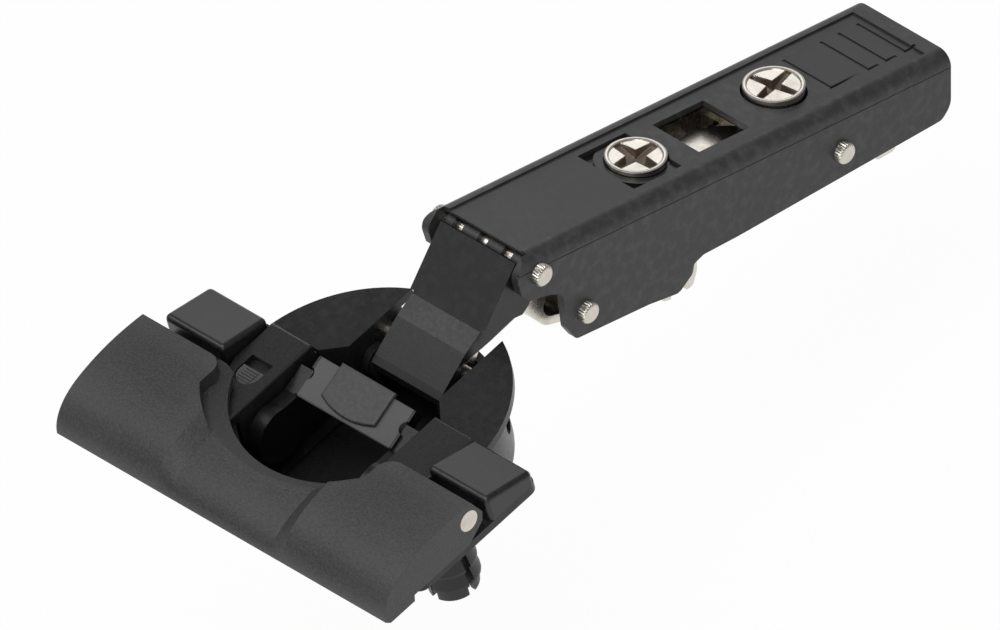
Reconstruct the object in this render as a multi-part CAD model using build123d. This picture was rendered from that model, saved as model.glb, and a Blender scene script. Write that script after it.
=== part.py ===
from build123d import *
import os
from math import atan2, cos, hypot, radians, sin, sqrt

# Concealed cup hinge for furniture doors, in millimetres, shown fully open.
# Origin: middle of the cup on the door's face, +Z out of the door, +Y towards the arm.
# Side views are drawn in Y and Z and stretched along X.

# Fits
running_gap = 0.3
pin_play = 0.05
seat_play = 0.02

# Opening
opening_angle = 106.0
arm_tilt = opening_angle - 90.0

# Cup
cup_r = 17.5
cup_depth = 11.8
cup_wall = 1.2
floor_t = 1.0
cup_foot_round = 1.5
flange_r = 19.6
flange_t = 1.2
plate_half = 28.95
plate_front = -19.4
plate_rear = 2.9
plate_corner_r = 1.6
slot_half = 8.1
slot_floor = -3.0
cheek_front = 3.3
cheek_step_y = 6.0
cheek_step_x = 11.0
floor_rib_x = 9.5
floor_rib_h = 0.6
floor_rib_t = 0.8

# Link pivots in the cup and in the arm, each as (y, z)
outer_pivot = (9.4, -4.0)
inner_pivot = (12.6, -1.8)
spring_pivot = (12.7, -6.0)
upper_nose = (23.25, 12.66)
lower_nose = (31.6, 2.7)
rear_pivot = (77.6, 4.5)
cup_pin_r = 1.1
cup_pin_half = 11.0
spring_pin_half = 11.3
spring_pin_face_r = 1.9
spring_pin_face_x = 11.0
nose_pin_r = 1.5
pin_proud = 1.2
pin_chamfer = 0.35

# Outer link
link_half = 6.7
link_side_t = 1.3
link_web_t = 1.0
outer_boss_r = 2.3
link_crest_r = 2.9
link_low_half = 6.1
link_bend = (16.3, 3.0)
link_bend_r = 1.6
knuckle_r = 2.3
knuckle_slot_w = 1.7
knuckle_slot_h = 1.3
knuckle_slot_turn = 20.0
knuckle_slot_pitch = 4.4

# Inner link
inner_half = 5.1
inner_hub_r = 1.6
eye_wall = 1.25
eye_travel = 2.2
eye_side_play = 0.45

# Damper housings and switch
housing_face = 11.0
housing_front = -13.0
housing_rear = 2.7
housing_cap_z = 2.8
housing_cap_r = 18.8
housing_outer_x = 18.3
drum_r = 2.6
drum_depth = 1.0
switch_x = (12.65, 16.4)
switch_y = (-7.4, -2.9)
switch_pocket_d = 0.9
switch_len = 2.8
switch_ribs = 5
switch_rib_pitch = 0.45
switch_rib_t = 0.2

# Damper rocker
rocker_pivot = (-7.5, -3.3)
rocker_half = 8.65
rocker_slope = 22.6
bridge_start = (-3.8, 0.76)
bridge_len = 6.0
bridge_t = 1.8
cheek_t = 1.9
cheek_disc_r = 4.0
pad_half = 4.8
pad_t = 0.55
pad_start = 1.6
pad_len = 5.0
pad_bulge = 1.1
bridge_waist_r = 0.85

# Wing blocks
block_front = -5.9
block_rear = 2.3
block_front_z = 5.45
block_rear_z = 3.4
block_inner_front = 18.3
block_inner_rear = 18.6
block_round = 0.75

# Dowels and spreaders
dowel_pitch = 45.0
dowel_y = -9.5
dowel_r = 3.9
dowel_neck_r = 3.4
dowel_len = 10.4
dowel_ring_pitch = 2.6
dowel_collar_r = 4.15
dowel_collar_t = 0.7
dowel_slit = 1.0
spreader_r = 1.5
spreader_cone_r = 2.4
ear_t = 1.5
ear_inset = 1.6
ear_r = 1.55

# Fixing lever
lever_half = 29.5
lever_wall = 1.15
lever_pin_z = 5.25
lever_pin_head_r = 1.5
lever_pin_r = 1.0
lever_pin_in = 18.0
saddle_half = 9.0
saddle_edge = 11.3
saddle_drop = 1.8
lever_opening_r = 16.8
ledge_r = 19.0
ledge_z = (4.2, 5.7)
lever_rim_r = 19.7
lever_wing_x = 14.8
lever_wing_round = 2.4
lever_collar_r = 20.6
lever_collar_z = 3.1
lever_rib_x = (17.6, 18.9)
lever_swing_x = (13.0, 17.2)

# Arm, drawn in its own frame before it is tilted
arm_half = 8.65
arm_wall = 1.2
arm_top_front = 15.6
arm_top_rear = 9.85
arm_front = 23.3
arm_rear = 97.2
hood_front = 22.2
arm_bottom_rear = 1.9
arm_edge_r = 2.0
arm_panel_depth = 0.3
panel_rear = 94.7
arm_rail = 2.2
slot_y = (43.8, 52.4)
slot_x = 5.1
window_y = (56.4, 65.5)
window_x = 4.2
mark_y = (80.1, 86.8, 90.0, 93.4)
mark_leg = (4.8, 1.8, 1.8, 1.8)
mark_half = 4.2
mark_w = 0.45
mark_depth = 0.2

# Adjusting screws
side_screw_y = 49.2
depth_screw_y = 74.0
screw_head_r = 4.05
screw_head_t = 1.3
screw_shank_r = 2.3
screw_rim = 0.35
cross_w = 1.1
cross_depth = 0.9
side_screw_proud = 0.25
depth_screw_proud = 0.8
collar_r = 5.4
collar_foot_t = 0.65

# Inner frame and clip arm
frame_gap = 2.0
frame_half = 7.1
frame_wall = 1.0
frame_front = 42.0
frame_rear = 91.0
frame_bottom = 1.2
frame_opening_y = (56.0, 67.5)
frame_tongue = (5.2, 61.6)
frame_tongue_r = 8.1
clip_half = 5.8
clip_wall = 1.0
clip_top = 5.3
clip_front = 46.0
clip_rear = 90.0
clip_bottom = 0.6
clip_hook_z = -6.2
depth_forward = 2.0
depth_back = 1.5
cam_r = 3.0
cam_t = 0.6
release_pivot = (83.0, 2.2)
release_half = 4.4
release_side_t = 1.0
release_pin_r = 1.0
release_spring_r = 1.45


def tilted(part):
    """Place a piece drawn in the arm's own frame."""
    return Pos(0, 0, flange_t) * Rot(X=-arm_tilt) * part


def arm_point(point):
    """A point of the arm's side view, in the hinge's frame."""
    y, z = point
    a = radians(arm_tilt)
    return (y * cos(a) + z * sin(a), z * cos(a) - y * sin(a) + flange_t)


def side_face(points, rounds=0.0):
    """Closed outline in the side view, with its corners rounded."""
    pts = [(p[0], p[1]) for p in points]
    if rounds == 0.0:
        line = Polyline(*pts, close=True)
    else:
        line = FilletPolyline(*pts, radius=rounds, close=True)
    return Plane.YZ * make_face(line.edges())


def across(face, x0, x1):
    """Stretch a side view from x0 to x1."""
    return Pos(x0, 0, 0) * extrude(face, amount=x1 - x0, dir=(1, 0, 0))


def pin(centre, r, x0, x1):
    """Plain round bar across the hinge."""
    disc = Plane.YZ * Pos(centre[0], centre[1]) * Circle(r)
    return across(disc, x0, x1)


def chamfered_pin(centre, r, half):
    """Round bar with both ends chamfered."""
    bar = pin(centre, r, -half, half)
    return chamfer(bar.edges().filter_by(GeomType.CIRCLE), pin_chamfer)


def inset_line(points, depth):
    """Open outline moved to its right by the depth, with mitred corners."""
    moved = []
    count = len(points)
    for i in range(count):
        normals = []
        if i > 0:
            normals.append(right_normal(points[i - 1], points[i]))
        if i < count - 1:
            normals.append(right_normal(points[i], points[i + 1]))
        ny = sum(n[0] for n in normals) / len(normals)
        nz = sum(n[1] for n in normals) / len(normals)
        scale = depth / (ny * ny + nz * nz)
        moved.append((points[i][0] + ny * scale, points[i][1] + nz * scale))
    return moved


def right_normal(a, b):
    """Unit normal to the right of the way from a to b."""
    dy = b[0] - a[0]
    dz = b[1] - a[1]
    length = hypot(dy, dz)
    return (dz / length, -dy / length)


def block(x0, x1, y0, y1, z0, z1):
    """Box between the given faces."""
    size = Box(x1 - x0, y1 - y0, z1 - z0)
    return Pos((x0 + x1) / 2, (y0 + y1) / 2, (z0 + z1) / 2) * size


def mirrored(part):
    """The same piece on the other side."""
    return mirror(part, about=Plane.YZ)


# Cup with flange, side plates and rear cheeks

def make_cup():
    inner_r = cup_r - cup_wall
    bowl = Pos(0, 0, -cup_depth / 2) * Cylinder(cup_r, cup_depth)
    bowl = fillet(bowl.edges().group_by(Axis.Z)[0], cup_foot_round)
    flange = Pos(0, 0, flange_t / 2) * Cylinder(flange_r, flange_t)
    plate = block(-plate_half, plate_half, plate_front, plate_rear, 0, flange_t)
    plate = fillet(plate.edges().filter_by(Axis.Z), plate_corner_r)
    hollow_floor = floor_t - cup_depth
    hollow = Pos(0, 0, (hollow_floor + flange_t) / 2) * Cylinder(inner_r, flange_t - hollow_floor)
    cheek_plan = Polyline(
        (slot_half, cheek_step_y),
        (cheek_step_x, cheek_front),
        (flange_r, cheek_front),
        (flange_r, flange_r),
        (slot_half, flange_r),
        close=True,
    )
    cheek = Pos(0, 0, hollow_floor) * extrude(make_face(cheek_plan.edges()), flange_t - hollow_floor)
    hollow = hollow - cheek - mirrored(cheek)
    slot = block(-slot_half, slot_half, cheek_front, flange_r + 1, slot_floor, flange_t + 1)
    body = bowl + flange + plate - hollow - slot
    for side in (-1, 1):
        bearing = pin(outer_pivot, outer_boss_r, link_half + running_gap, slot_half + 0.5)
        body += bearing if side > 0 else mirrored(bearing)
        rib = block(
            side * floor_rib_x - floor_rib_t / 2,
            side * floor_rib_x + floor_rib_t / 2,
            housing_rear - 11.5,
            housing_rear,
            hollow_floor,
            hollow_floor + floor_rib_h,
        )
        body += rib
        dowel_hole = Pos(side * dowel_pitch / 2, dowel_y, flange_t / 2) * Cylinder(
            dowel_r + running_gap / 2, 2 * flange_t
        )
        body -= dowel_hole
    body -= pin(outer_pivot, cup_pin_r + seat_play, -cup_pin_half - seat_play, cup_pin_half + seat_play)
    body -= pin(inner_pivot, cup_pin_r + seat_play, -cup_pin_half - seat_play, cup_pin_half + seat_play)
    body -= pin(spring_pivot, cup_pin_r + seat_play, -spring_pin_half - 1, spring_pin_half + 1)
    face = pin(spring_pivot, spring_pin_face_r, spring_pin_face_x, cup_r)
    return body - face - mirrored(face)


def make_closing_spring():
    coil_in = cup_pin_r + pin_play * 2
    coil_out = coil_in + 0.55
    coil = pin(spring_pivot, coil_out, -4.2, 4.2) - pin(spring_pivot, coil_in, -5, 5)
    for i in range(7):
        groove_x = -3.6 + i * 1.2
        groove = pin(spring_pivot, coil_out + 1, groove_x - 0.12, groove_x + 0.12)
        groove -= pin(spring_pivot, coil_out - 0.25, groove_x - 1, groove_x + 1)
        coil -= groove
    leg = block(-4.2, -3.6, spring_pivot[0] + coil_in, spring_pivot[0] + coil_out, -10.6, spring_pivot[1])
    return coil + leg + mirrored(leg)


# Links

def outer_link_outline():
    """Top of the outer link in the side view, from its end in the cup to the knuckle."""
    ky, kz = arm_point(upper_nose)
    by, bz = link_bend
    reach = hypot(kz - bz, ky - by)
    run = sqrt(reach * reach - link_crest_r * link_crest_r)
    angle = atan2(kz - bz, ky - by) + atan2(link_crest_r, run)
    crest = (by + run * cos(angle), bz + run * sin(angle))
    return [(7.3, -1.7), (8.2, -1.1), (13.2, 1.8), link_bend, crest]


def make_outer_link():
    ky, kz = arm_point(upper_nose)
    oy, oz = outer_pivot
    top = outer_link_outline()
    neck = radians(58)
    low = [
        (ky + 0.6, kz),
        (ky + 0.6, kz - link_crest_r),
        (24.3, 1.25),
        (22.5, 0.45),
        (17.3, 0.3),
        (oy + 5.3 * cos(neck), oz + 5.3 * sin(neck)),
        (oy + 2.5 * cos(neck), oz + 2.5 * sin(neck)),
        (oy, oz),
        (oy - outer_boss_r, oz),
    ]
    rounds = [0, 0, link_bend_r, 0, 0] + [0] * len(low)
    profile = side_face(top + low, rounds)
    body = across(profile, -link_half, link_half)
    waist = side_face([(link_bend[0] + 0.2, 12), (link_bend[0] + 0.2, 3.3), (23.0, 0.6), (24.0, -20), (-5, -20), (-5, 12)])
    for side in (-1, 1):
        edges = sorted((side * link_low_half, side * (link_half + 1)))
        body -= across(waist, *edges)
    body += pin(outer_pivot, outer_boss_r, -link_half, link_half)
    under = inset_line(top, link_web_t)
    under[0] = (under[0][0] - 3, under[0][1] - 1.6)
    hollow = side_face(under + [(ky + 0.2, kz), (40, kz - 5), (40, -20), (0, -20)])
    inside = link_half - link_side_t
    body -= across(hollow, -inside, inside)
    body += pin((ky, kz), knuckle_r, -link_half, link_half)
    for i in (-1, 0, 1):
        x = i * knuckle_slot_pitch
        slot = Pos(0, 0, knuckle_r) * Box(knuckle_slot_w, knuckle_slot_h, knuckle_r)
        body -= Pos(x, ky, kz) * Rot(X=knuckle_slot_turn) * slot
    body -= pin(outer_pivot, cup_pin_r + pin_play, -10, 10)
    body -= pin((ky, kz), nose_pin_r + pin_play, -10, 10)
    return body


def make_inner_link():
    hy, hz = inner_pivot
    ey, ez = arm_point(lower_nose)
    slot_half_h = nose_pin_r + eye_side_play
    eye_r = slot_half_h + eye_wall
    turn = radians(149)
    ty = ey + eye_travel * cos(turn)
    tz = ez + eye_travel * sin(turn)
    rib = side_face(
        [
            (hy + 0.3, hz + inner_hub_r - 0.05),
            (hy + 1.6, hz + 1.95),
            (17.2, 1.85),
            (21.2, 3.1),
            (25.4, 3.1),
            (ty + 0.6 * eye_r, tz + 0.8 * eye_r),
            (ty, tz),
            (ty - 0.85 * eye_r, tz - 0.5 * eye_r),
            (23.6, 0.35),
            (17.0, 0.35),
            (hy + 3.0, hz + 0.6),
            (hy + 0.9, hz - 1.65),
            (hy, hz),
        ]
    )
    body = across(rib, -inner_half, inner_half)
    body += pin(inner_pivot, inner_hub_r, -inner_half, inner_half)
    eye = pin((ey, ez), eye_r, -inner_half, inner_half)
    eye += pin((ty, tz), eye_r, -inner_half, inner_half)
    side = eye_r
    ny = -sin(turn)
    nz = cos(turn)
    flat = side_face(
        [
            (ey + side * ny, ez + side * nz),
            (ty + side * ny, tz + side * nz),
            (ty - side * ny, tz - side * nz),
            (ey - side * ny, ez - side * nz),
        ]
    )
    body += eye + across(flat, -inner_half, inner_half)
    h = slot_half_h
    cut = side_face(
        [
            (ey + h * ny, ez + h * nz),
            (ty + h * ny, tz + h * nz),
            (ty - h * ny, tz - h * nz),
            (ey - h * ny, ez - h * nz),
        ]
    )
    body -= across(cut, -10, 10)
    body -= pin((ey, ez), h, -10, 10)
    body -= pin((ty, tz), h, -10, 10)
    body -= pin(inner_pivot, cup_pin_r + pin_play, -10, 10)
    return body


# Damper housings, switch and rocker

def make_housing(with_pocket):
    inner_r = cup_r - cup_wall - running_gap
    bottom = floor_t - cup_depth + seat_play
    column = Pos(0, 0, (bottom + housing_cap_z) / 2) * Cylinder(inner_r, housing_cap_z - bottom)
    column &= block(housing_face, inner_r + 1, housing_front, cheek_front - running_gap, bottom, housing_cap_z)
    cap_bottom = flange_t + seat_play
    cap = Pos(0, 0, (cap_bottom + housing_cap_z) / 2) * Cylinder(housing_cap_r, housing_cap_z - cap_bottom)
    cap &= block(housing_face, housing_outer_x, housing_front, housing_rear, cap_bottom, housing_cap_z)
    body = column + cap
    body -= block(
        housing_face - 1, housing_outer_x + 1, housing_rear, cheek_front, cap_bottom - 0.1, housing_cap_z + 1
    )
    top = body.faces().sort_by(Axis.Z)[-1]
    body = fillet(top.edges(), 0.45)
    body -= pin(rocker_pivot, drum_r + pin_play, housing_face - 1, housing_face + drum_depth + pin_play)
    if with_pocket:
        body -= switch_pocket(0)
    return body


def switch_pocket(clear):
    """Round-ended pocket, or the slider's plan where clear is above zero."""
    x0 = switch_x[0] + clear
    x1 = switch_x[1] - clear
    r = (x1 - x0) / 2
    mid = (x0 + x1) / 2
    front = switch_y[0] + clear + r
    depth = switch_pocket_d
    floor_z = housing_cap_z - depth
    straight = block(x0, x1, front, switch_y[1] - clear, floor_z, housing_cap_z + 1)
    end = Pos(mid, front, floor_z + (depth + 1) / 2) * Cylinder(r, depth + 1)
    return straight + end


def make_switch():
    slider = switch_pocket(0.12)
    floor_z = housing_cap_z - switch_pocket_d
    keep = block(
        switch_x[0],
        switch_x[1],
        switch_y[0],
        switch_y[0] + switch_len,
        floor_z + seat_play,
        housing_cap_z - 0.15,
    )
    slider &= keep
    for i in range(switch_ribs):
        y = switch_y[0] + 0.7 + i * switch_rib_pitch
        half = switch_rib_t / 2
        rib_z = housing_cap_z - 0.4
        slider += block(switch_x[0] + 0.8, switch_x[1] - 0.8, y - half, y + half, rib_z, housing_cap_z)
    return mirrored(slider)


def rocker_local(u, w):
    """Point on the bridge: u along its slope, w above its top."""
    a = radians(rocker_slope)
    return (
        bridge_start[0] + u * cos(a) - w * sin(a),
        bridge_start[1] + u * sin(a) + w * cos(a),
    )


def make_rocker():
    py, pz = rocker_pivot
    bridge_outline = side_face(
        [
            rocker_local(0, 0),
            rocker_local(bridge_len, 0),
            rocker_local(bridge_len, -bridge_t),
            rocker_local(0.4, -bridge_t),
        ],
        0.25,
    )
    body = across(bridge_outline, -rocker_half, rocker_half)
    waist_y, waist_z = rocker_local(bridge_len * 0.55, 0)
    for side in (-1, 1):
        waist = Pos(side * rocker_half, waist_y, waist_z) * Cylinder(bridge_waist_r, 4 * bridge_t)
        body -= waist
    arm_outline = side_face(
        [
            (py, pz - 1.5),
            (py + 3.4, pz - 1.5),
            rocker_local(3.9, -bridge_t - 1.0),
            rocker_local(3.9, -0.4),
            rocker_local(0.1, -0.4),
            (py - 1.0, pz + cheek_disc_r - 0.2),
            (py - 1.0, pz),
        ]
    )
    for side in (-1, 1):
        x0 = rocker_half - 0.35
        x1 = rocker_half + cheek_t
        cheek = across(arm_outline, x0, x1)
        cheek += pin(rocker_pivot, cheek_disc_r, x0, x1)
        cheek += pin(rocker_pivot, drum_r, x1 - 0.2, housing_face + drum_depth)
        body += cheek if side > 0 else mirrored(cheek)
    return body


def make_rocker_pad():
    front = Line((-pad_half, pad_start), (-pad_half, pad_start + pad_len))
    rear = Line((-pad_half, pad_start + pad_len), (pad_half, pad_start + pad_len))
    side = Line((pad_half, pad_start + pad_len), (pad_half, pad_start))
    bulge = ThreePointArc((pad_half, pad_start), (0, pad_start - pad_bulge), (-pad_half, pad_start))
    plan = make_face(front.edges() + rear.edges() + side.edges() + bulge.edges())
    pad = extrude(plan, pad_t)
    pad = fillet(pad.edges().group_by(Axis.Z)[-1], 0.3)
    y, z = rocker_local(0, seat_play)
    return Pos(0, y, z) * Rot(X=rocker_slope) * pad


# Wing blocks, dowels and spreaders

def make_wing_block():
    z0 = flange_t + seat_play
    profile = side_face(
        [(block_front, z0), (block_front, block_front_z), (block_rear, block_rear_z), (block_rear, z0)]
    )
    body = across(profile, block_inner_rear - 1, plate_half)
    cut = Polyline(
        (block_inner_rear, block_rear + 1),
        (block_inner_front, block_front - 1),
        (block_inner_rear - 3, block_front - 1),
        (block_inner_rear - 3, block_rear + 1),
        close=True,
    )
    body -= extrude(make_face(cut.edges()), 2 * block_front_z)
    upper = body.edges().filter_by(lambda e: e.center().Z > z0 + 0.5)
    body = fillet(upper, block_round)
    room_h = dowel_collar_t + running_gap
    room = Pos(dowel_pitch / 2, dowel_y, z0 + room_h / 2) * Cylinder(dowel_collar_r + running_gap, room_h)
    return body - room


def make_dowel():
    x = dowel_pitch / 2
    bottom = -dowel_len
    outline = [(spreader_r + running_gap, flange_t + seat_play)]
    outline.append((dowel_collar_r, flange_t + seat_play))
    outline.append((dowel_collar_r, flange_t + seat_play + dowel_collar_t))
    outline.append((spreader_r + running_gap, flange_t + seat_play + dowel_collar_t))
    collar = revolve(Plane.XZ * make_face(Polyline(*outline, close=True).edges()), Axis.Z)
    bore = spreader_r + running_gap
    rings = [(bore, flange_t + 0.1), (dowel_r, flange_t + 0.1), (dowel_r, -0.6)]
    for i in range(4):
        z = -0.8 - i * dowel_ring_pitch
        rings.append((dowel_neck_r, z))
        if z - dowel_ring_pitch > bottom:
            rings.append((dowel_r, z - dowel_ring_pitch + 0.5))
            rings.append((dowel_r, z - dowel_ring_pitch + 0.05))
    rings.append((dowel_neck_r, bottom))
    rings.append((spreader_cone_r + running_gap, bottom))
    rings.append((bore, bottom + 2.6))
    sleeve = revolve(Plane.XZ * make_face(Polyline(*rings, close=True).edges()), Axis.Z)
    body = collar + sleeve
    body -= block(-dowel_slit / 2, dowel_slit / 2, -6, 6, bottom - 1, -2.5)
    body -= block(-6, 6, -dowel_slit / 2, dowel_slit / 2, bottom - 1, -2.5)
    body = Pos(x, dowel_y, 0) * body
    ear_base = flange_t + seat_play + dowel_collar_t / 2
    ear_outline = side_face(
        [
            (dowel_y - 2.2, ear_base),
            (dowel_y + 2.2, ear_base),
            (dowel_y + ear_r, lever_pin_z - 1.6),
            (dowel_y + ear_r, lever_pin_z),
            (dowel_y - ear_r, lever_pin_z),
            (dowel_y - ear_r, lever_pin_z - 1.6),
        ]
    )
    for x0 in (x - ear_inset - ear_t, x + ear_inset):
        body += across(ear_outline, x0, x0 + ear_t)
        body += pin((dowel_y, lever_pin_z), ear_r, x0, x0 + ear_t)
    body -= pin((dowel_y, lever_pin_z), lever_pin_r + pin_play, x - 6, x + 6)
    return body


def make_spreader():
    x = dowel_pitch / 2
    bottom = -dowel_len + 0.1
    head = lever_pin_z - lever_pin_r - 0.15
    outline = Polyline(
        (0, bottom),
        (spreader_cone_r, bottom),
        (spreader_cone_r, bottom + 0.5),
        (spreader_r, bottom + 2.4),
        (spreader_r, head),
        (0, head),
        close=True,
    )
    return Pos(x, dowel_y, 0) * revolve(Plane.XZ * make_face(outline.edges()), Axis.Z)


# Fixing lever

def lever_top(drop):
    """Top of the lever in the side view, from its front foot to its rear edge."""
    return [
        (-26.2, 1.35),
        (-25.6, 3.5 - 0.35 * drop),
        (-23.8, 5.5 - 0.75 * drop),
        (-19.5, 7.2 - drop),
        (-12.3, 7.85 - drop),
        (-8.4, 7.55 - drop),
    ]


def lever_section(drop, inset):
    top = lever_top(drop)
    if inset > 0:
        moved = inset_line(top, inset)
        moved[0] = (moved[0][0], 0.2)
        curve = Spline(*moved)
        tail = Polyline(moved[-1], (moved[-1][0], 0.2), moved[0])
    else:
        curve = Spline(*top)
        tail = Polyline(
            top[-1],
            (-7.5, 5.7),
            (-7.1, 4.9),
            (-7.5, 3.5),
            (-10.5, 1.55),
            (-20.7, 1.55),
            (-20.9, 0.6),
            (-25.4, 0.6),
            top[0],
        )
    return Plane.YZ * make_face(curve.edges() + tail.edges())


def lever_form(inset):
    """Grip with a saddle in its middle; inset gives its hollow."""
    half = lever_half - inset
    wing = lever_section(0, inset)
    middle = lever_section(saddle_drop, inset)
    body = across(middle, -saddle_half, saddle_half)
    right = across(wing, saddle_edge, half)
    slope = loft([Pos(saddle_half, 0, 0) * middle, Pos(saddle_edge, 0, 0) * wing], ruled=True)
    return body + right + slope + mirrored(right) + mirrored(slope)


def make_lever():
    hollow = lever_form(lever_wall)
    collar = Pos(0, 0, lever_collar_z + 5) * Cylinder(lever_collar_r, 10)
    hollow -= collar
    for side in (-1, 1):
        x0 = side * lever_rib_x[0]
        x1 = side * lever_rib_x[1]
        hollow -= block(min(x0, x1), max(x0, x1), -16, 0, lever_collar_z, 12)
    body = lever_form(0) - hollow
    body -= Pos(0, 0, 6) * Cylinder(lever_opening_r, 20)
    cone_h = ledge_z[1] - ledge_z[0]
    cone = Pos(0, 0, ledge_z[0] + cone_h / 2) * Cone(lever_opening_r, ledge_r, cone_h)
    body -= cone
    rim = Pos(0, 0, ledge_z[1] + 5) * Cylinder(lever_rim_r, 10)
    rim &= block(-lever_wing_x, lever_wing_x, -30, 10, ledge_z[1] - 0.01, 20)
    body -= rim
    for side in (-1, 1):
        near = side * lever_wing_x
        far = side * (lever_wing_x + lever_wing_round)
        corner = block(
            min(near, far), max(near, far), -8.4 - lever_wing_round, -6.0, ledge_z[1] - 0.01, 12
        )
        corner -= Pos(far, -8.4 - lever_wing_round, 8) * Cylinder(lever_wing_round, 20)
        body -= corner
    clear_low = Pos(0, 0, (lever_collar_z + 0.2) / 2) * Cylinder(flange_r + 0.2, lever_collar_z - 0.2)
    clear_low &= block(-30, 30, -15, 10, -1, lever_collar_z)
    body -= clear_low
    ear_x0 = dowel_pitch / 2 - ear_inset - ear_t - running_gap
    ear_x1 = dowel_pitch / 2 + ear_inset + ear_t + running_gap
    for side in (-1, 1):
        a = side * ear_x0
        b = side * ear_x1
        rear_way = block(min(a, b), max(a, b), dowel_y - ear_r, -6, 0, lever_pin_z + ear_r + 0.1)
        body -= rear_way
    swing_r = lever_pin_z - housing_cap_z - pin_play
    swing = block(*lever_swing_x, dowel_y, dowel_y + 2 * swing_r, 0, lever_pin_z)
    swing -= pin((dowel_y, lever_pin_z), swing_r, *lever_swing_x)
    body = body - swing - mirrored(swing)
    body -= pin((dowel_y, lever_pin_z), lever_pin_head_r + seat_play, lever_half - 1.35, lever_half + 1)
    body -= pin((dowel_y, lever_pin_z), lever_pin_head_r + seat_play, -lever_half - 1, -lever_half + 1.35)
    body -= pin((dowel_y, lever_pin_z), lever_pin_r + seat_play, -lever_half, -lever_rib_x[0] - 0.3)
    body -= pin((dowel_y, lever_pin_z), lever_pin_r + seat_play, lever_rib_x[0] + 0.3, lever_half)
    return body


def make_lever_pins():
    centre = (dowel_y, lever_pin_z)
    shank = pin(centre, lever_pin_r, lever_pin_in, lever_half - 1.3)
    head = pin(centre, lever_pin_head_r, lever_half - 1.3, lever_half)
    one = shank + head
    return Compound(children=[one, mirrored(one)])


# Arm

def top_z(y):
    """Height of the arm's top at y."""
    slope = (arm_top_rear - arm_top_front) / (arm_rear - arm_front)
    return arm_top_front + slope * (y - arm_front)


def make_arm():
    outline = [
        (21.2, top_z(21.2)),
        (arm_rear, top_z(arm_rear)),
        (arm_rear, arm_bottom_rear),
        (arm_rear - 1.6, 0.3),
        (59.0, 0.55),
        (52.8, 0.8),
        (51.1, 0.2),
        (50.8, -1.2),
        (48.4, -3.0),
        (43.0, -2.1),
        (29.9, -0.9),
        (28.3, 1.4),
        (27.5, 7.3),
        (25.2, 8.3),
        (21.7, 9.1),
        (20.2, 10.5),
        (19.2, 13.6),
    ]
    rounds = [0, 0, 2.5, 1.5, 0, 0.8, 0.3, 0.8, 1.5, 0, 1.2, 1.5, 1.2, 1.5, 1.5, 1.0, 1.8]
    shell = across(side_face(outline, rounds), -arm_half, arm_half)
    top = [f for f in shell.faces() if f.normal_at().Z > 0.9 and f.center().Z > 8]
    edges = [e for f in top for e in f.edges() if abs(e.center().X) > arm_half - 0.1]
    shell = fillet(edges, arm_edge_r)
    inner_half_w = arm_half - arm_wall
    inside = side_face(
        [
            (10, top_z(10) - arm_wall),
            (arm_rear - arm_wall, top_z(arm_rear - arm_wall) - arm_wall),
            (arm_rear - arm_wall, -20),
            (10, -20),
        ]
    )
    shell -= across(inside, -inner_half_w, inner_half_w)
    shell -= pin(upper_nose, knuckle_r + running_gap, -inner_half_w, inner_half_w)
    shell -= block(-inner_half_w, inner_half_w, 10, hood_front, 5, 20)
    panel_half = arm_half - arm_rail
    panel = side_face(
        [
            (10, top_z(10) - arm_panel_depth),
            (panel_rear, top_z(panel_rear) - arm_panel_depth),
            (panel_rear, 30),
            (10, 30),
        ]
    )
    shell -= across(panel, -panel_half, panel_half)
    shell -= block(-slot_x, slot_x, slot_y[0], slot_y[1], 8, 20)
    shell -= block(-window_x, window_x, window_y[0], window_y[1], 8, 20)
    for y in (side_screw_y, depth_screw_y):
        shell -= Pos(0, y, 10) * Cylinder(screw_head_r + running_gap, 20)
    for y, leg in zip(mark_y, mark_leg):
        z = top_z(y) - arm_panel_depth - mark_depth
        shell -= Pos(0, y, z + 1) * Box(2 * mark_half + mark_w, mark_w, 2)
        leg_z = top_z(y + leg / 2) - arm_panel_depth - mark_depth
        shell -= Pos(mark_half, y + leg / 2, leg_z + 1) * Box(mark_w, leg, 2)
    for centre in (upper_nose, lower_nose, rear_pivot):
        shell -= pin(centre, nose_pin_r + seat_play, -arm_half - 1, arm_half + 1)
    return shell


def screw(y, rim_z, foot_z):
    """Cross-recess screw with a raised rim, its axis upright in the arm's frame."""
    head = Pos(0, y, rim_z - screw_head_t / 2) * Cylinder(screw_head_r, screw_head_t)
    head = fillet(head.edges().group_by(Axis.Z)[-1], 0.3)
    dish = Pos(0, y, rim_z) * Cylinder(screw_head_r - 0.8, 2 * screw_rim)
    head -= dish
    for turn in (0, 90):
        wing = Pos(0, y, rim_z - screw_rim) * Rot(Z=turn) * Box(
            2 * screw_head_r - 2.6, cross_w, 2 * cross_depth
        )
        head -= wing
    shank_top = rim_z - screw_head_t
    shank = Pos(0, y, (shank_top + foot_z) / 2) * Cylinder(screw_shank_r, shank_top - foot_z)
    return head + shank


def side_rim():
    """Height of the side screw's rim."""
    return top_z(side_screw_y) + side_screw_proud


def depth_rim():
    """Height of the depth screw's rim."""
    return top_z(depth_screw_y) + depth_screw_proud


def frame_top(y):
    """Height of the inner frame's top at y."""
    return top_z(y) - arm_wall - frame_gap


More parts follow.
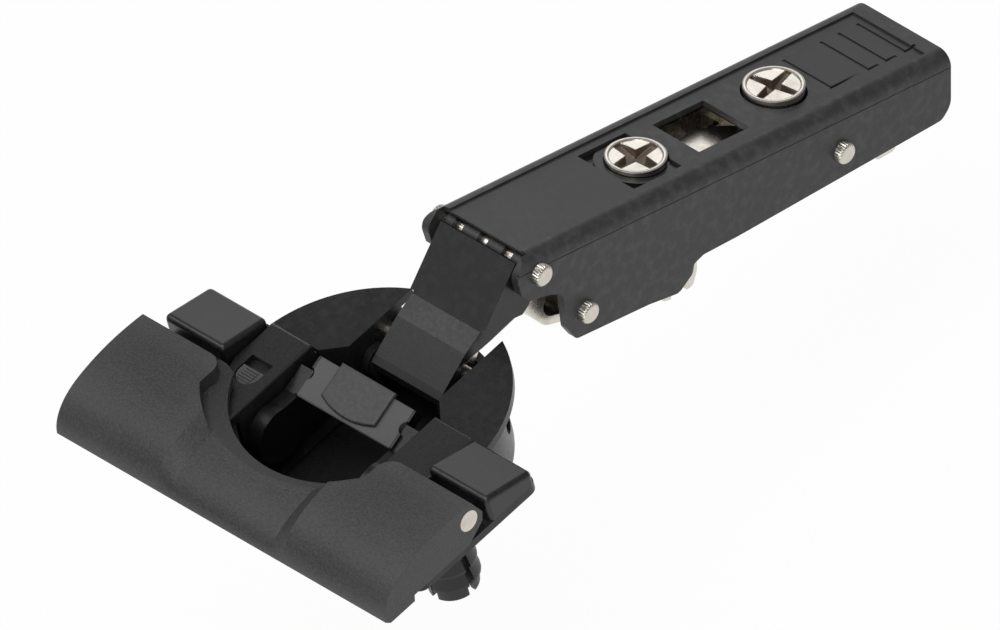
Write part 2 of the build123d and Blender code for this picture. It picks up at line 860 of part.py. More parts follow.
def make_side_collar():
    front = slot_y[0] - 0.8
    rear = slot_y[1] + 1.2
    upper = arm_wall + seat_play
    lower = upper + collar_foot_t
    foot_outline = [
        (front, top_z(front) - upper),
        (rear, top_z(rear) - upper),
        (rear, top_z(rear) - lower),
        (front, top_z(front) - lower),
    ]
    body = across(side_face(foot_outline), -6.0, 6.0)
    ring_outline = [
        (slot_y[0] + 0.1, top_z(slot_y[0]) - 0.75),
        (slot_y[1] - 0.1, top_z(slot_y[1]) - 0.75),
        (slot_y[1] - 0.1, top_z(slot_y[1]) - lower),
        (slot_y[0] + 0.1, top_z(slot_y[0]) - lower),
    ]
    ring = across(side_face(ring_outline), -slot_x + 0.1, slot_x - 0.1)
    ring &= Pos(0, side_screw_y, 10) * Cylinder(collar_r, 30)
    body += ring
    seat = side_rim() - screw_head_t - seat_play
    body -= Pos(0, side_screw_y, seat + 5) * Cylinder(screw_head_r + running_gap / 2, 10)
    body -= Pos(0, side_screw_y, 10) * Cylinder(screw_shank_r + pin_play, 30)
    return body


def make_side_screw():
    return screw(side_screw_y, side_rim(), frame_top(side_screw_y) - 3.2)


def make_depth_screw():
    body = screw(depth_screw_y, depth_rim(), frame_top(depth_screw_y) - frame_wall - 0.2)
    cam_z = frame_top(depth_screw_y + cam_r) - frame_wall - 2 * pin_play - cam_t / 2
    cam = Pos(0, depth_screw_y, cam_z) * Cylinder(cam_r, cam_t)
    cam += Pos(0, depth_screw_y, cam_z + cam_t) * Cylinder(screw_shank_r - 0.2, 2 * cam_t)
    return body + cam


def make_inner_frame():
    mid_low = (59.0, frame_bottom)
    outline = [
        (frame_front, frame_top(frame_front)),
        (frame_rear, frame_top(frame_rear)),
        (frame_rear, frame_bottom + 2.4),
        (frame_rear - 2.0, frame_bottom),
        mid_low,
        (frame_front + 1.5, frame_bottom),
        (frame_front, frame_bottom + 5.0),
    ]
    rounds = [1.0, 1.0, 0.5, 1.0, 0, 1.5, 1.5]
    body = across(side_face(outline, rounds), -frame_half, frame_half)
    inside = side_face(
        [
            (frame_front - 5, frame_top(frame_front - 5) - frame_wall),
            (frame_rear + 5, frame_top(frame_rear + 5) - frame_wall),
            (frame_rear + 5, -20),
            (frame_front - 5, -20),
        ]
    )
    in_half = frame_half - frame_wall
    body -= across(inside, -in_half, in_half)
    boss_z = frame_top(side_screw_y)
    boss = Pos(0, side_screw_y, boss_z - 1.6) * Cylinder(screw_shank_r + 1.5, 2.6)
    body += boss
    body -= Pos(0, side_screw_y, boss_z) * Cylinder(screw_shank_r + running_gap, 16)
    body -= Pos(0, depth_screw_y, frame_top(depth_screw_y)) * Cylinder(screw_shank_r + pin_play, 8)
    tongue_x, tongue_y = frame_tongue
    opening = block(-in_half, tongue_x, *frame_opening_y, 5, 20)
    opening -= Pos(tongue_x, tongue_y, 8) * Cylinder(frame_tongue_r, 40)
    opening &= block(-in_half, 0, *frame_opening_y, 5, 20)
    body -= opening
    body -= pin(rear_pivot, nose_pin_r + pin_play, -10, 10)
    return body


def make_clip_arm():
    outline = [
        (clip_front, clip_top),
        (clip_rear, clip_top),
        (clip_rear, clip_bottom + 1.5),
        (clip_rear - 1.5, clip_bottom),
        (56.5, clip_bottom),
        (54.4, -1.2),
        (54.4, -3.9),
        (53.7, -5.9),
        (50.5, clip_hook_z),
        (48.3, -5.8),
        (47.2, -3.4),
        (46.5, -1.5),
        (clip_front, 0.5),
    ]
    rounds = [1.0, 0.8, 0.5, 0.5, 1.0, 0.8, 0.5, 0.8, 0.5, 1.0, 0.5, 0.5, 0.5]
    body = across(side_face(outline, rounds), -clip_half, clip_half)
    in_half = clip_half - clip_wall
    inside = block(-in_half, in_half, clip_front - 5, clip_rear + 5, -20, clip_top - clip_wall)
    body -= inside
    mouth = side_face([(49.8, -9), (49.8, -3.4), (51.6, -2.4), (52.6, -3.4), (52.6, -9)])
    body -= across(mouth, -10, 10)
    ry, rz = rear_pivot
    way = nose_pin_r + running_gap
    front_end = ry - depth_forward
    rear_end = ry + depth_back
    body -= block(-10, 10, front_end, rear_end, rz - way, clip_top + 1)
    body -= pin((front_end, rz), way, -10, 10)
    body -= pin((rear_end, rz), way, -10, 10)
    sy = side_screw_y
    body -= block(
        -screw_shank_r - 0.6, screw_shank_r + 0.6, clip_front - 1, sy + 5.5, clip_top - clip_wall - 1, clip_top + 1
    )
    body -= pin(release_pivot, release_pin_r + seat_play, -10, 10)
    return body


def make_release_lever():
    ry, rz = release_pivot
    outline = [
        (ry - 2.2, rz + 0.9),
        (ry + 2.4, rz + 1.1),
        (91.6, 2.4),
        (92.4, -1.0),
        (91.3, -4.4),
        (88.2, -4.4),
        (87.0, -2.2),
        (85.4, -0.9),
        (ry - 1.8, -0.6),
    ]
    rounds = [0.8, 0.8, 1.0, 1.0, 0.8, 0.8, 0.8, 1.0, 1.0]
    body = across(side_face(outline, rounds), -release_half, release_half)
    inside = side_face(
        [
            (ry - 4, rz - 6),
            (ry - 4, rz + 4),
            (ry + 2.6, rz + 4),
            (ry + 3.0, rz),
            (90.2, 1.2),
            (90.2, -1.2),
            (86.5, -1.6),
            (ry, rz - 8),
        ]
    )
    inner = release_half - release_side_t
    body -= across(inside, -inner, inner)
    body -= pin(release_pivot, release_pin_r + pin_play, -10, 10)
    return body


def make_release_spring():
    ring = release_spring_r
    body = pin(release_pivot, ring, -2.6, 2.6) - pin(release_pivot, release_pin_r + pin_play, -5, 5)
    for i in range(4):
        x = -1.8 + i * 1.2
        groove = pin(release_pivot, ring + 1, x - 0.1, x + 0.1) - pin(release_pivot, ring - 0.2, x - 1, x + 1)
        body -= groove
    return body


def build():
    """Every piece of the hinge by its name."""
    nose_half = arm_half + pin_proud
    release_ends = clip_half + 0.15
    pieces = {
        "cup": make_cup(),
        "outer_link_pin": chamfered_pin(outer_pivot, cup_pin_r, cup_pin_half),
        "inner_link_pin": chamfered_pin(inner_pivot, cup_pin_r, cup_pin_half),
        "spring_pin": chamfered_pin(spring_pivot, cup_pin_r, spring_pin_half),
        "closing_spring": make_closing_spring(),
        "damper_housing_right": make_housing(False),
        "damper_housing_left": mirrored(make_housing(True)),
        "damper_switch": make_switch(),
        "wing_block_right": make_wing_block(),
        "wing_block_left": mirrored(make_wing_block()),
        "dowel_right": make_dowel(),
        "dowel_left": mirrored(make_dowel()),
        "spreader_right": make_spreader(),
        "spreader_left": mirrored(make_spreader()),
        "fixing_lever": make_lever(),
        "lever_pins": make_lever_pins(),
        "damper_rocker": make_rocker(),
        "rocker_pad": make_rocker_pad(),
        "outer_link": make_outer_link(),
        "inner_link": make_inner_link(),
        "arm_housing": tilted(make_arm()),
        "upper_nose_pin": tilted(chamfered_pin(upper_nose, nose_pin_r, nose_half)),
        "lower_nose_pin": tilted(chamfered_pin(lower_nose, nose_pin_r, nose_half)),
        "rear_pin": tilted(chamfered_pin(rear_pivot, nose_pin_r, nose_half)),
        "side_screw_collar": tilted(make_side_collar()),
        "side_screw": tilted(make_side_screw()),
        "depth_screw": tilted(make_depth_screw()),
        "inner_frame": tilted(make_inner_frame()),
        "clip_arm": tilted(make_clip_arm()),
        "release_lever": tilted(make_release_lever()),
        "release_spring": tilted(make_release_spring()),
        "release_lever_pin": tilted(pin(release_pivot, release_pin_r, -release_ends, release_ends)),
    }
    return pieces


def main():
    os.makedirs("parts", exist_ok=True)
    for name, piece in build().items():
        export_step(piece, os.path.join("parts", name + ".step"))


main()
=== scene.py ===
import math

import bmesh
import bpy
from mathutils import Matrix, Vector


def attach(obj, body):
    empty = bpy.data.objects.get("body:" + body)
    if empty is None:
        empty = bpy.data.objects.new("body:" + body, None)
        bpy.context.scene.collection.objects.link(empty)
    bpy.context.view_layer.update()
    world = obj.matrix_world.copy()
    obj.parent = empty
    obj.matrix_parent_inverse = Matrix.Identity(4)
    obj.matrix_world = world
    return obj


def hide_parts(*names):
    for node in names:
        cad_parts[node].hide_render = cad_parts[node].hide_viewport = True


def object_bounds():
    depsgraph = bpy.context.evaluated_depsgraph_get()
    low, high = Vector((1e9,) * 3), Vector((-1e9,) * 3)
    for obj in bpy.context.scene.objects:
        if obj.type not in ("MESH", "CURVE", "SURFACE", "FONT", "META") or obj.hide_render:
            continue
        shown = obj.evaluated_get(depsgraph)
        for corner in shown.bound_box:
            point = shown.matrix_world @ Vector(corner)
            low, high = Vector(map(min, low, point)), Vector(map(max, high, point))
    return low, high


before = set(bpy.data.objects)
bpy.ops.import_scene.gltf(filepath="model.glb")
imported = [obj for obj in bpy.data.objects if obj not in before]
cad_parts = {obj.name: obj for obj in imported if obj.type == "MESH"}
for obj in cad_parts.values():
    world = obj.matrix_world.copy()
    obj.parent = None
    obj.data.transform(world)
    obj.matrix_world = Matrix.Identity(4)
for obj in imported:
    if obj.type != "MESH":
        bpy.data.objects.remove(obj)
cad_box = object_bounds()

MM = 0.001
METRE = 1000

# Sizes below are in millimetres unless the name says otherwise

# The arm's own frame stands on the flange and is tilted down towards the rear
FLANGE_T = 1.2
ARM_TILT = math.radians(16)

# Pressed line under the rounded top edges of the arm, bumped in and darkened with painted shade
RAIL_FRONT_Y = 23.3
RAIL_FRONT_Z = 15.6
RAIL_FALL = 0.0778
RAIL_LINE_DEPTH = 2.05
RAIL_LINE_HALF = 0.2
RAIL_INNER_X = 8.4

# Half the length of the damper's bridge, between its black discs
BRIDGE_HALF = 8.25

# Splined ends of the pins
SPLINES = 22
POINTS_PER_SPLINE = 6
SPLINE_CUT = 0.075
SPLINE_SHARPNESS = 0.6
SPLINE_LENGTH = 1.5
PIN_SHANK = 0.985

# Head, cross recess and shank of the adjusting screws
HEAD_RIM_IN = 3.42
HEAD_RIM_CREST = 3.74
HEAD_RIM_CURVE = 1.1
HEAD_PAD_DROP = -0.2
HEAD_DEPTH = 1.3
HEAD_EDGE = 0.1
RECESS_DEPTH = 1.6
RECESS_SLOPE = 0.34
RECESS_TAPER = 0.11
RECESS_WALL = (0.05, -0.12)
RECESS_LIP = 0.08
SHANK_R = 2.3
SHANK_CHAMFER = 0.2
SCREW_AROUND = 192
PAD_RINGS = 56
RIM_RINGS = 8

# Camera, lamps and floor
PICTURE_WIDTH = 127.017
PICTURE_RIGHT = 17.56
PICTURE_UP = 10.983
CAMERA_AWAY_M = 0.6
FLOOR_HALF_M = 3.0
FLOOR_DROP_M = 0.03
FLOOR_PAINT = 0.92
FLOOR_WHITE = 0.95
ROOM_LIGHT = 0.3


# Shader maths written as plain expressions

class Shade:
    """A shader socket that adds, multiplies and mixes like a number."""

    def __init__(self, tree, socket):
        self.tree = tree
        self.socket = socket

    def maths(self, operation, other, swap=False):
        node = self.tree.nodes.new("ShaderNodeMath")
        node.operation = operation
        first, second = (other, self) if swap else (self, other)
        plug(self.tree, node.inputs[0], first)
        plug(self.tree, node.inputs[1], second)
        return Shade(self.tree, node.outputs[0])

    def __add__(self, other):
        return self.maths("ADD", other)

    __radd__ = __add__

    def __sub__(self, other):
        return self.maths("SUBTRACT", other)

    def __rsub__(self, other):
        return self.maths("SUBTRACT", other, swap=True)

    def __mul__(self, other):
        return self.maths("MULTIPLY", other)

    __rmul__ = __mul__

    def __truediv__(self, other):
        return self.maths("DIVIDE", other)

    def __abs__(self):
        return self.maths("ABSOLUTE", 0.0)

    def above(self, edge):
        return self.maths("GREATER_THAN", edge)

    def least(self, other):
        return self.maths("MINIMUM", other)

    def most(self, other):
        return self.maths("MAXIMUM", other)

    def blend(self, low, high):
        """Colour from low to high as this value goes from 0 to 1."""
        node = self.tree.nodes.new("ShaderNodeMix")
        node.data_type = "RGBA"
        plug(self.tree, node.inputs["Factor"], self)
        plug(self.tree, node.inputs[6], low)
        plug(self.tree, node.inputs[7], high)
        return Shade(self.tree, node.outputs[2])


def plug(tree, socket, value):
    """Set a socket to a number or colour, or link it to a shade."""
    if isinstance(value, Shade):
        tree.links.new(value.socket, socket)
    elif isinstance(value, tuple) and len(value) == 3 and socket.type == "RGBA":
        socket.default_value = (*value, 1.0)
    else:
        socket.default_value = value


class Finish:
    """One material and the nodes it is made from."""

    def __init__(self, name):
        self.material = bpy.data.materials.new(name)
        self.material.use_nodes = True
        self.tree = self.material.node_tree
        self.tree.nodes.clear()
        self.shader = self.tree.nodes.new("ShaderNodeBsdfPrincipled")
        output = self.tree.nodes.new("ShaderNodeOutputMaterial")
        self.tree.links.new(self.shader.outputs[0], output.inputs[0])

    def node(self, kind, settings=None, out=0, **inputs):
        """Add a node of a kind, with its settings first and then its sockets."""
        made = self.tree.nodes.new(kind)
        for key, value in (settings or {}).items():
            if key == "stops":
                ramp = made.color_ramp
                for i, (place, grey) in enumerate(value):
                    stop = ramp.elements[i] if i < 2 else ramp.elements.new(place)
                    stop.position = place
                    stop.color = (grey, grey, grey, 1)
            else:
                setattr(made, key, value)
        for key, value in inputs.items():
            plug(self.tree, made.inputs[key], value)
        return Shade(self.tree, made.outputs[out])

    def place(self):
        return self.node("ShaderNodeTexCoord", out="Object")

    def across(self):
        """Distance from the middle plane of the hinge, in millimetres."""
        return abs(self.node("ShaderNodeSeparateXYZ", Vector=self.place())) * METRE

    def line(self, distance, half_width):
        """1 on a line where the distance is 0, falling to 0 at its half width."""
        return (1 - abs(distance) / half_width).most(0.0)

    def stretched(self, x, y, z):
        return self.node("ShaderNodeMapping", Vector=self.place(), Scale=(x, y, z))

    def grain(self, size_mm, detail=3.0, where=None, roughness=0.55):
        """Noise whose lumps are about the given size."""
        return self.node(
            "ShaderNodeTexNoise",
            Vector=where or self.place(),
            Scale=METRE / size_mm,
            Detail=detail,
            Roughness=roughness,
        )

    def ramp(self, value, *stops):
        return self.node("ShaderNodeValToRGB", {"stops": stops}, Fac=value)

    def edges(self):
        """1 along sharp outer edges, 0 elsewhere."""
        sharpness = self.node("ShaderNodeNewGeometry", out="Pointiness")
        return self.ramp(sharpness, (0.51, 0.0), (0.6, 1.0))

    def bump(self, height, depth_mm):
        return self.node("ShaderNodeBump", Height=height, Distance=depth_mm * MM, Strength=1.0)

    def surface(self, **inputs):
        names = {
            "colour": "Base Color",
            "roughness": "Roughness",
            "metal": "Metallic",
            "normal": "Normal",
            "specular": "Specular IOR Level",
        }
        for key, value in inputs.items():
            plug(self.tree, self.shader.inputs[names[key]], value)
        return self.material


# Finishes of the hinge

def black_coat(name, tone, shine, grain_mm=0.3, grain_depth=0.02, rail_line_and_shade=False):
    """Semi-gloss black coat on steel or zinc, with a fine grain and rubbed edges, and if asked a
    pressed line that is bumped in and darkened with painted shade.
    """
    f = Finish(name)
    fine = f.grain(grain_mm, 4, roughness=0.65)
    cloud = f.grain(6.0, 2)
    wear = f.edges() * f.ramp(f.grain(1.4, 4), (0.45, 0.0), (0.7, 1.0)) * 0.35
    colour = (fine * 0.75 + cloud * 0.25).blend((tone * 0.55,) * 3, (tone * 1.5,) * 3)
    colour = wear.blend(colour, (tone * 3.2,) * 3)
    height = fine * grain_depth
    if rail_line_and_shade:
        groove_and_shade = rail_groove_and_shade(f)
        # Painted shade: the coat is darkened along the pressed line, and the height below also bumps
        # the line in
        colour = (groove_and_shade * 0.85).blend(colour, (tone * 0.1,) * 3)
        height = height - groove_and_shade * 0.12
    return f.surface(
        colour=colour,
        roughness=shine + (fine - 0.5) * 0.3 + (cloud - 0.5) * 0.1,
        normal=f.bump(height, 1.0),
        specular=0.35,
    )


def rail_groove_and_shade(f):
    """1 along the pressed line under the rounded top edges of the arm, where the coat is bumped in and
    darkened as painted shade.
    """
    c = math.cos(ARM_TILT)
    s = math.sin(ARM_TILT)
    split = f.tree.nodes.new("ShaderNodeSeparateXYZ")
    plug(f.tree, split.inputs[0], f.place())
    y = Shade(f.tree, split.outputs["Y"]) * METRE
    z = Shade(f.tree, split.outputs["Z"]) * METRE - FLANGE_T
    along = y * c - z * s
    height = y * s + z * c
    depth = RAIL_FRONT_Z - (along - RAIL_FRONT_Y) * RAIL_FALL - height
    return f.line(depth - RAIL_LINE_DEPTH, RAIL_LINE_HALF) * f.across().above(RAIL_INNER_X)


def satin_plastic(name, tone, shine, grain_mm, depth_mm):
    """Moulded plastic with an etched grain."""
    f = Finish(name)
    pits = f.grain(grain_mm, 3)
    cloud = f.grain(9.0, 2)
    scuff = f.ramp(f.grain(2.2, 5, roughness=0.7), (0.62, 0.0), (0.75, 1.0)) * 0.2
    speckle = f.ramp(pits, (0.38, 0.0), (0.62, 1.0))
    dark = (tone * 0.45, tone * 0.44, tone * 0.43)
    light = (tone * 1.6, tone * 1.58, tone * 1.56)
    colour = (speckle * 0.6 + cloud * 0.4).blend(dark, light)
    colour = (f.edges() * 0.3 + scuff).blend(colour, (tone * 2.0,) * 3)
    return f.surface(
        colour=colour,
        roughness=shine + (pits - 0.5) * 0.2,
        normal=f.bump(pits, depth_mm),
    )


def nickel(name, tint, shine, brushed):
    """Nickel plate with drawing lines and a little tarnish in patches spread by noise."""
    f = Finish(name)
    lines = f.grain(0.5, 4, f.stretched(0.08, 1, 1)) if brushed else f.grain(0.25, 4)
    cloud = f.grain(3.0, 3)
    dull = f.ramp(cloud, (0.5, 0.0), (0.75, 1.0)) * 0.35
    r, g, b = tint
    colour = (lines * 0.4 + dull).blend((r, g, b), (r * 0.72, g * 0.7, b * 0.66))
    return f.surface(
        colour=colour,
        metal=1.0,
        roughness=shine + (lines - 0.5) * 0.16 + dull * 0.25,
        normal=f.bump(lines, 0.006),
    )


def grey_casting(name):
    """Tumbled grey zinc, finely pitted, with black discs at its sides."""
    f = Finish(name)
    pits = f.grain(0.3, 5)
    cloud = f.grain(2.5, 3)
    colour = (pits * 0.5 + cloud * 0.5).blend((0.014, 0.014, 0.0145), (0.036, 0.036, 0.037))
    colour = f.edges().blend(colour, (0.08, 0.08, 0.08))
    disc = f.across().above(BRIDGE_HALF)
    return f.surface(
        colour=disc.blend(colour, (0.004, 0.004, 0.004)),
        roughness=0.5 + (pits - 0.5) * 0.25 - disc * 0.15,
        normal=f.bump(pits, 0.03),
        specular=0.35,
    )


LEVER_GREY = satin_plastic("lever grey", 0.03, 0.48, 0.3, 0.06)
BLACK_PLASTIC = satin_plastic("black plastic", 0.009, 0.34, 0.4, 0.006)
DOWEL_BLACK = satin_plastic("dowel black", 0.004, 0.4, 0.5, 0.006)
PAD_GREY = satin_plastic("pad grey", 0.035, 0.45, 0.5, 0.004)
SWITCH_GREY = satin_plastic("switch grey", 0.05, 0.45, 0.3, 0.01)
ARM_BLACK = black_coat("arm black", 0.032, 0.42, rail_line_and_shade=True)
CUP_BLACK = black_coat("cup black", 0.012, 0.32, 0.5, 0.004)
LINK_BLACK = black_coat("link black", 0.01, 0.3, 0.5, 0.004)
BRIDGE_GREY = grey_casting("bridge grey")
NICKEL = nickel("nickel", (0.72, 0.68, 0.62), 0.24, False)
# Darker, browner nickel for the faces down in the screws' cross recesses: painted shade in the recess
RECESS_SHADE_NICKEL = nickel("recess painted shade nickel", (0.3, 0.25, 0.21), 0.4, False)
PIN_NICKEL = nickel("pin nickel", (0.68, 0.64, 0.58), 0.3, True)
SPRING_STEEL = nickel("spring steel", (0.35, 0.34, 0.33), 0.35, True)

FINISHES = {
    "fixing_lever": LEVER_GREY,
    "damper_switch": SWITCH_GREY,
    "damper_rocker": BRIDGE_GREY,
    "rocker_pad": PAD_GREY,
    "dowel_left": DOWEL_BLACK,
    "dowel_right": DOWEL_BLACK,
    "cup": CUP_BLACK,
    "outer_link": LINK_BLACK,
    "arm_housing": ARM_BLACK,
    "closing_spring": SPRING_STEEL,
    "release_spring": SPRING_STEEL,
    "inner_link": NICKEL,
    "side_screw": NICKEL,
    "depth_screw": NICKEL,
    "inner_frame": NICKEL,
    "clip_arm": NICKEL,
    "release_lever": NICKEL,
}
PLASTIC_STARTS = ("damper_housing", "wing_block", "side_screw_collar")


def finish_for(name):
    if name in FINISHES:
        return FINISHES[name]
    if name.startswith(PLASTIC_STARTS):
        return BLACK_PLASTIC
    return PIN_NICKEL


def dress_cad_pieces():
    for name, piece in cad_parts.items():
        finish = finish_for(name)
        if not piece.material_slots:
            piece.data.materials.append(finish)
        for slot in piece.material_slots:
            slot.material = finish


# The arm's own frame

def turned(x, y, z):
    """A direction of the arm's own frame, in the hinge's frame."""
    c = math.cos(ARM_TILT)
    s = math.sin(ARM_TILT)
    return Vector((x, y * c + z * s, z * c - y * s))


def from_arm(x, y, z):
    """A point given in the arm's own frame in millimetres, in the hinge's frame in metres."""
    return (turned(x, y, z) + Vector((0, 0, FLANGE_T))) * MM


def arm_box(name):
    """Lowest and highest corners of a piece in the arm's own frame, in millimetres."""
    c = math.cos(ARM_TILT)
    s = math.sin(ARM_TILT)
    spots = []
    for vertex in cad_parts[name].data.vertices:
        x, y, z = vertex.co / MM
        z -= FLANGE_T
        spots.append((x, y * c - z * s, y * s + z * c))
    low = [min(spot[i] for spot in spots) for i in range(3)]
    high = [max(spot[i] for spot in spots) for i in range(3)]
    return low, high


# Splined pins and cross-recess screws, in place of the plain ones

def ringed_piece(name, rings, finish, body, stands_for, flat_rings=0):
    """Skin closed rings of points one after the other and cap both ends."""
    shell = bmesh.new()
    loops = [[shell.verts.new(spot) for spot in ring] for ring in rings]
    count = len(loops[0])
    for near, far in zip(loops, loops[1:]):
        for i in range(count):
            j = (i + 1) % count
            shell.faces.new((near[i], near[j], far[j], far[i]))
    shell.faces.new(list(reversed(loops[0])))
    shell.faces.new(loops[-1])
    bmesh.ops.recalc_face_normals(shell, faces=shell.faces)
    mesh = bpy.data.meshes.new(name)
    shell.to_mesh(mesh)
    shell.free()
    for face in mesh.polygons:
        face.use_smooth = len(face.vertices) == 4 and min(face.vertices) >= flat_rings * count
    mesh.set_sharp_from_angle(angle=math.radians(35))
    mesh.materials.append(finish)
    piece = bpy.data.objects.new(name, mesh)
    bpy.context.scene.collection.objects.link(piece)
    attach(piece, body)
    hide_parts(stands_for)
    return piece


def make_splined_pin(name, plain_pin):
    """Riveted pin with pressed splines on both ends."""
    low, high = arm_box(plain_pin)
    r = (high[1] - low[1]) / 2
    y = (low[1] + high[1]) / 2
    z = (low[2] + high[2]) / 2
    half = high[0]
    around = SPLINES * POINTS_PER_SPLINE
    # Place along the pin, radius, and how deep the splines are cut there
    stations = [
        (half - 0.05, 0.12 * r, 0),
        (half, 0.3 * r, 0),
        (half, 0.76 * r, 0.35),
        (half - 0.12, 0.88 * r, 0.7),
        (half - 0.34, r, 1),
        (half - SPLINE_LENGTH, r, 1),
        (half - SPLINE_LENGTH - 0.12, r * PIN_SHANK, 0),
        (0.0, r * PIN_SHANK, 0),
    ]
    mirror = [(-x, size, cut) for x, size, cut in reversed(stations[:-1])]
    rings = []
    for x, size, cut in stations + mirror:
        ring = []
        for i in range(around):
            a = 2 * math.pi * i / around
            tooth = 0.5 + 0.5 * math.cos(SPLINES * a)
            reach = size * (1 - SPLINE_CUT * cut * (1 - tooth ** SPLINE_SHARPNESS))
            ring.append(from_arm(x, y + reach * math.cos(a), z + reach * math.sin(a)))
        rings.append(ring)
    ringed_piece(name, rings, PIN_NICKEL, "arm", plain_pin)


def smooth_step(low, high, value):
    t = min(1.0, max(0.0, (value - low) / (high - low)))
    return t * t * (3 - 2 * t)


def head_height(x, y, arm_half):
    """Height of a screw head's face: round rim, four flat pads and a cross recess."""
    r = math.hypot(x, y)
    if r > HEAD_RIM_IN:
        return -HEAD_RIM_CURVE * (r - HEAD_RIM_CREST) ** 2
    long = max(abs(x), abs(y))
    short = min(abs(x), abs(y))
    half_width = arm_half * (1 - RECESS_TAPER * long)
    depth = RECESS_DEPTH - RECESS_SLOPE * long
    return HEAD_PAD_DROP - depth * smooth_step(*RECESS_WALL, short - half_width)


def make_cross_screw(name, plain_screw, body, turn_degrees, arm_half, cam_r=0.0, cam_t=0.0):
    """Adjusting screw with a raised rim and a pressed cross recess, with a cam at its foot or none."""
    low, high = arm_box(plain_screw)
    r = (high[0] - low[0]) / 2
    y0 = (low[1] + high[1]) / 2
    top = high[2]
    foot = low[2]
    turn = math.radians(turn_degrees)
    angles = [2 * math.pi * i / SCREW_AROUND for i in range(SCREW_AROUND)]
    pad_width = HEAD_RIM_IN - 0.05
    rim_start = HEAD_RIM_IN + 0.01
    radii = [0.04 + pad_width * (i / PAD_RINGS) for i in range(PAD_RINGS + 1)]
    radii += [rim_start + (r - rim_start) * (i / RIM_RINGS) for i in range(RIM_RINGS + 1)]

    def spot(size, a, drop):
        """A point of the screw, turned as it stands."""
        return from_arm(size * math.cos(a + turn), y0 + size * math.sin(a + turn), top + drop)

    def drop_at(size, a):
        return head_height(size * math.cos(a), size * math.sin(a), arm_half)

    rings = [[spot(size, a, drop_at(size, a)) for a in angles] for size in radii]
    length = foot - top
    outline = [
        (r, HEAD_PAD_DROP),
        (r, HEAD_EDGE - HEAD_DEPTH),
        (r - HEAD_EDGE, -HEAD_DEPTH),
        (SHANK_R, -HEAD_DEPTH),
    ]
    if cam_r:
        outline += [(SHANK_R, length + cam_t), (cam_r, length + cam_t), (cam_r, length)]
    else:
        outline += [(SHANK_R, length + SHANK_CHAMFER), (SHANK_R - SHANK_CHAMFER, length)]
    rings += [[spot(size, a, drop) for a in angles] for size, drop in outline]
    screw = ringed_piece(name, rings, NICKEL, body, plain_screw, flat_rings=PAD_RINGS)
    # Faces sunk below the pads take the darker nickel, as painted shade in the cross recess
    screw.data.materials.append(RECESS_SHADE_NICKEL)
    for face in screw.data.polygons:
        ring, i = divmod(min(face.vertices), SCREW_AROUND)
        if ring < PAD_RINGS and drop_at(radii[ring], angles[i]) < HEAD_PAD_DROP - RECESS_LIP:
            face.material_index = 1


# Studio

def make_camera():
    right = turned(1, 1, 0).normalized()
    up = turned(-1, 1, 2).normalized()
    towards = turned(1, -1, 1).normalized()
    middle = Vector((0, 0, FLANGE_T)) + right * PICTURE_RIGHT + up * PICTURE_UP
    data = bpy.data.cameras.new("camera")
    data.type = "ORTHO"
    data.ortho_scale = PICTURE_WIDTH * MM
    data.clip_start = 0.01
    data.clip_end = 5.0
    camera = bpy.data.objects.new("camera", data)
    bpy.context.scene.collection.objects.link(camera)
    turn = Matrix((right, up, towards)).transposed().to_4x4()
    camera.matrix_world = Matrix.Translation(middle * MM + towards * CAMERA_AWAY_M) @ turn
    bpy.context.scene.camera = camera


def add_lamp(name, spot, size, power, aim=(0, 0.03, 0)):
    """Soft lamp with its place, its two sides and its aim in metres and its power in watts."""
    data = bpy.data.lights.new(name, "AREA")
    data.shape = "RECTANGLE"
    data.size, data.size_y = size
    data.energy = power
    lamp = bpy.data.objects.new(name, data)
    bpy.context.scene.collection.objects.link(lamp)
    lamp.location = spot
    lamp.rotation_euler = (Vector(aim) - Vector(spot)).to_track_quat("-Z", "Y").to_euler()


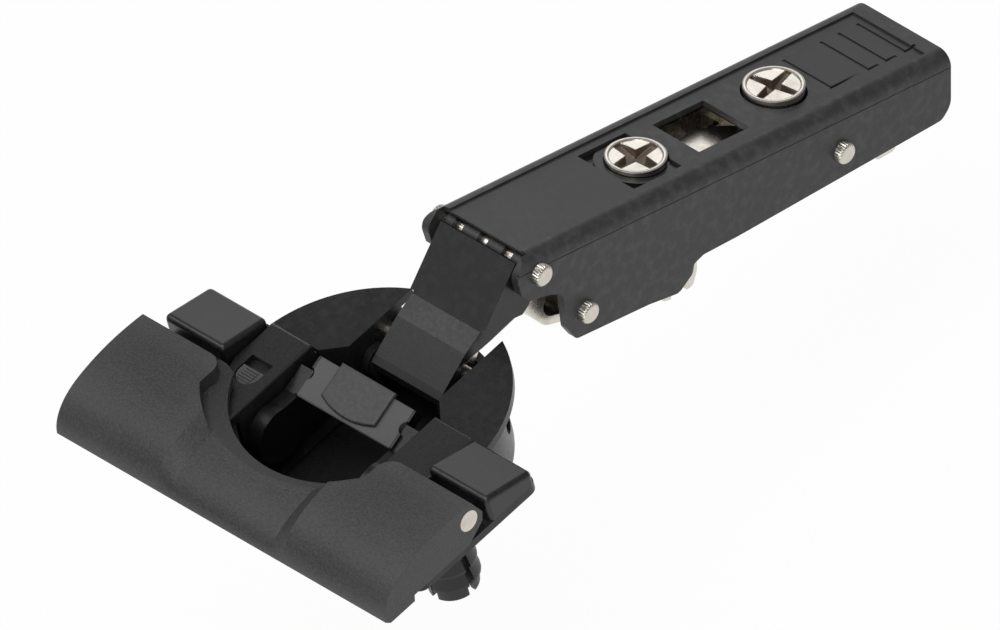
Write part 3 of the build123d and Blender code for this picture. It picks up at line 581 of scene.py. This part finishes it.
def make_floor(low):
    half = FLOOR_HALF_M
    corners = [(-half, -half, low), (half, -half, low), (half, half, low), (-half, half, low)]
    mesh = bpy.data.meshes.new("floor")
    mesh.from_pydata(corners, [], [(0, 1, 2, 3)])
    floor = bpy.data.objects.new("floor", mesh)
    bpy.context.scene.collection.objects.link(floor)
    material = bpy.data.materials.new("pale floor")
    material.use_nodes = True
    tree = material.node_tree
    tree.nodes.clear()
    output = tree.nodes.new("ShaderNodeOutputMaterial")
    paint = tree.nodes.new("ShaderNodeBsdfDiffuse")
    paint.inputs["Color"].default_value = (FLOOR_PAINT, FLOOR_PAINT, FLOOR_PAINT, 1)
    glow = tree.nodes.new("ShaderNodeEmission")
    glow.inputs["Color"].default_value = (1, 1, 1, 1)
    mix = tree.nodes.new("ShaderNodeMixShader")
    path = tree.nodes.new("ShaderNodeLightPath")
    seen = Shade(tree, path.outputs["Is Camera Ray"]) + Shade(tree, path.outputs["Is Glossy Ray"])
    seen = (seen + Shade(tree, path.outputs["Is Transmission Ray"])).least(1.0) * FLOOR_WHITE
    tree.links.new(seen.socket, mix.inputs[0])
    tree.links.new(paint.outputs[0], mix.inputs[1])
    tree.links.new(glow.outputs[0], mix.inputs[2])
    tree.links.new(mix.outputs[0], output.inputs[0])
    mesh.materials.append(material)


def make_world():
    world = bpy.data.worlds.new("studio")
    bpy.context.scene.world = world
    world.use_nodes = True
    tree = world.node_tree
    tree.nodes.clear()
    output = tree.nodes.new("ShaderNodeOutputWorld")
    seen = tree.nodes.new("ShaderNodeBackground")
    seen.inputs["Color"].default_value = (1, 1, 1, 1)
    light = tree.nodes.new("ShaderNodeBackground")
    light.inputs["Color"].default_value = (0.95, 0.97, 1, 1)
    light.inputs["Strength"].default_value = ROOM_LIGHT
    mix = tree.nodes.new("ShaderNodeMixShader")
    path = tree.nodes.new("ShaderNodeLightPath")
    tree.links.new(path.outputs["Is Camera Ray"], mix.inputs[0])
    tree.links.new(light.outputs[0], mix.inputs[1])
    tree.links.new(seen.outputs[0], mix.inputs[2])
    tree.links.new(mix.outputs[0], output.inputs[0])


def make_studio():
    bpy.context.scene.view_settings.view_transform = "Standard"
    make_world()
    make_floor(cad_box[0][2] - FLOOR_DROP_M)
    add_lamp("overhead", (0.1, -0.15, 0.75), (0.6, 0.5), 3.2)
    add_lamp("left back", (-0.46, 0.57, 0.32), (0.45, 0.4), 0.65)
    add_lamp("left", (-0.43, -0.14, 0.59), (0.26, 0.26), 0.6)
    add_lamp("left front", (-0.45, -0.42, 0.5), (0.6, 0.4), 0.5)
    add_lamp("front", (0.45, -0.5, 0.3), (0.4, 0.3), 1.2)


make_splined_pin("upper_nose_pin_splined", "upper_nose_pin")
make_splined_pin("lower_nose_pin_splined", "lower_nose_pin")
make_splined_pin("rear_pin_splined", "rear_pin")
make_cross_screw("side_screw_cross", "side_screw", "side_adjuster", 0, 1.02)
make_cross_screw("depth_screw_cross", "depth_screw", "depth_adjuster", 12, 0.72, cam_r=3.0, cam_t=0.6)
dress_cad_pieces()
make_camera()
make_studio()
